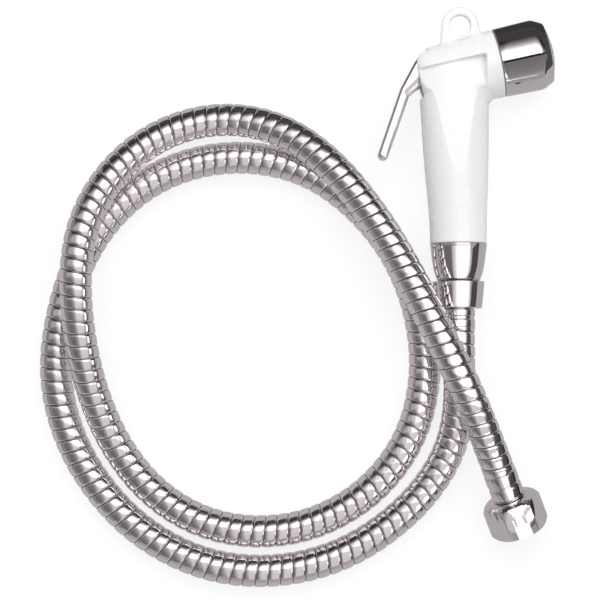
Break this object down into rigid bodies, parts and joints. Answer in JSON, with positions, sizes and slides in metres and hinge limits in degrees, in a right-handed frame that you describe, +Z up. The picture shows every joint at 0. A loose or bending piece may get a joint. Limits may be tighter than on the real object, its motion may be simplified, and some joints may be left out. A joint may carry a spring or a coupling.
{
  "type": "handheld bidet shower",
  "caption": "Trigger handset with a chrome spray head, hanging eye and coiled metal hose ending in a loose hexagon nut.",
  "frame": {"origin": "centre of the handset's own box (hose and its fittings left out), on the floor it lies on", "axes": "+Y up the handle to the hanging eye, +X towards the spray head, +Z up from the floor"},
  "size_m": [0.2393, 0.2691, 0.0387],
  "materials": {
    "white_plastic": "smooth moulded plastic",
    "chrome": "bright plated, smooth",
    "hose_steel": "polished interlocked steel strip",
    "brass": "turned brass",
    "black_rubber": "soft moulded rubber",
    "steel": "drawn stainless steel",
    "inner_plastic": "moulded plastic"
  },
  "bodies": {
    "handset": {"handset_body": "white_plastic", "handle_collar": "chrome", "head_sleeve": "chrome", "spray_plate": "chrome", "head_seal": "black_rubber", "inlet_tail": "brass", "tail_seal": "black_rubber", "lever_pin": "steel", "stem_gland": "brass", "stem_o_rings": "black_rubber", "valve_seat": "brass", "seat_o_ring": "black_rubber", "valve_spring": "steel", "spring_holder": "inner_plastic", "handset_nut": "chrome", "handset_washer": "black_rubber", "handset_nipple": "brass", "handset_ferrule": "chrome", "hose": "hose_steel", "supply_ferrule": "chrome", "supply_nipple": "brass", "supply_washer": "black_rubber"},
    "trigger": {"trigger_lever": "chrome"},
    "valve": {"valve_stem": "brass", "valve_disc": "black_rubber"},
    "supply_nut": {"supply_nut": "chrome"}
  },
  "joints": [
    {"name": "trigger_press", "type": "hinge", "parent": "handset", "child": "trigger", "pos_m": [-0.01878, 0.04335, 0.0164], "axis": [0, 0, 1], "range_deg": [0, 12], "stiffness_Nm_per_rad": 0.4, "springref_deg": -28.65},
    {"name": "valve_lift", "type": "slide", "parent": "handset", "child": "valve", "axis": [0.9767, 0.2147, 0], "range_m": [0, 0.002], "deforming": ["valve_spring"]},
    {"name": "supply_nut_turn", "type": "hinge", "parent": "handset", "child": "supply_nut", "pos_m": [0.02312, -0.16929, 0.01349], "axis": [0.3546, -0.8886, -0.2909], "continuous": true}
  ],
  "couplings": [
    {"joint": "valve_lift", "follows": "trigger_press", "m_per_rad": 0.00908}
  ]
}
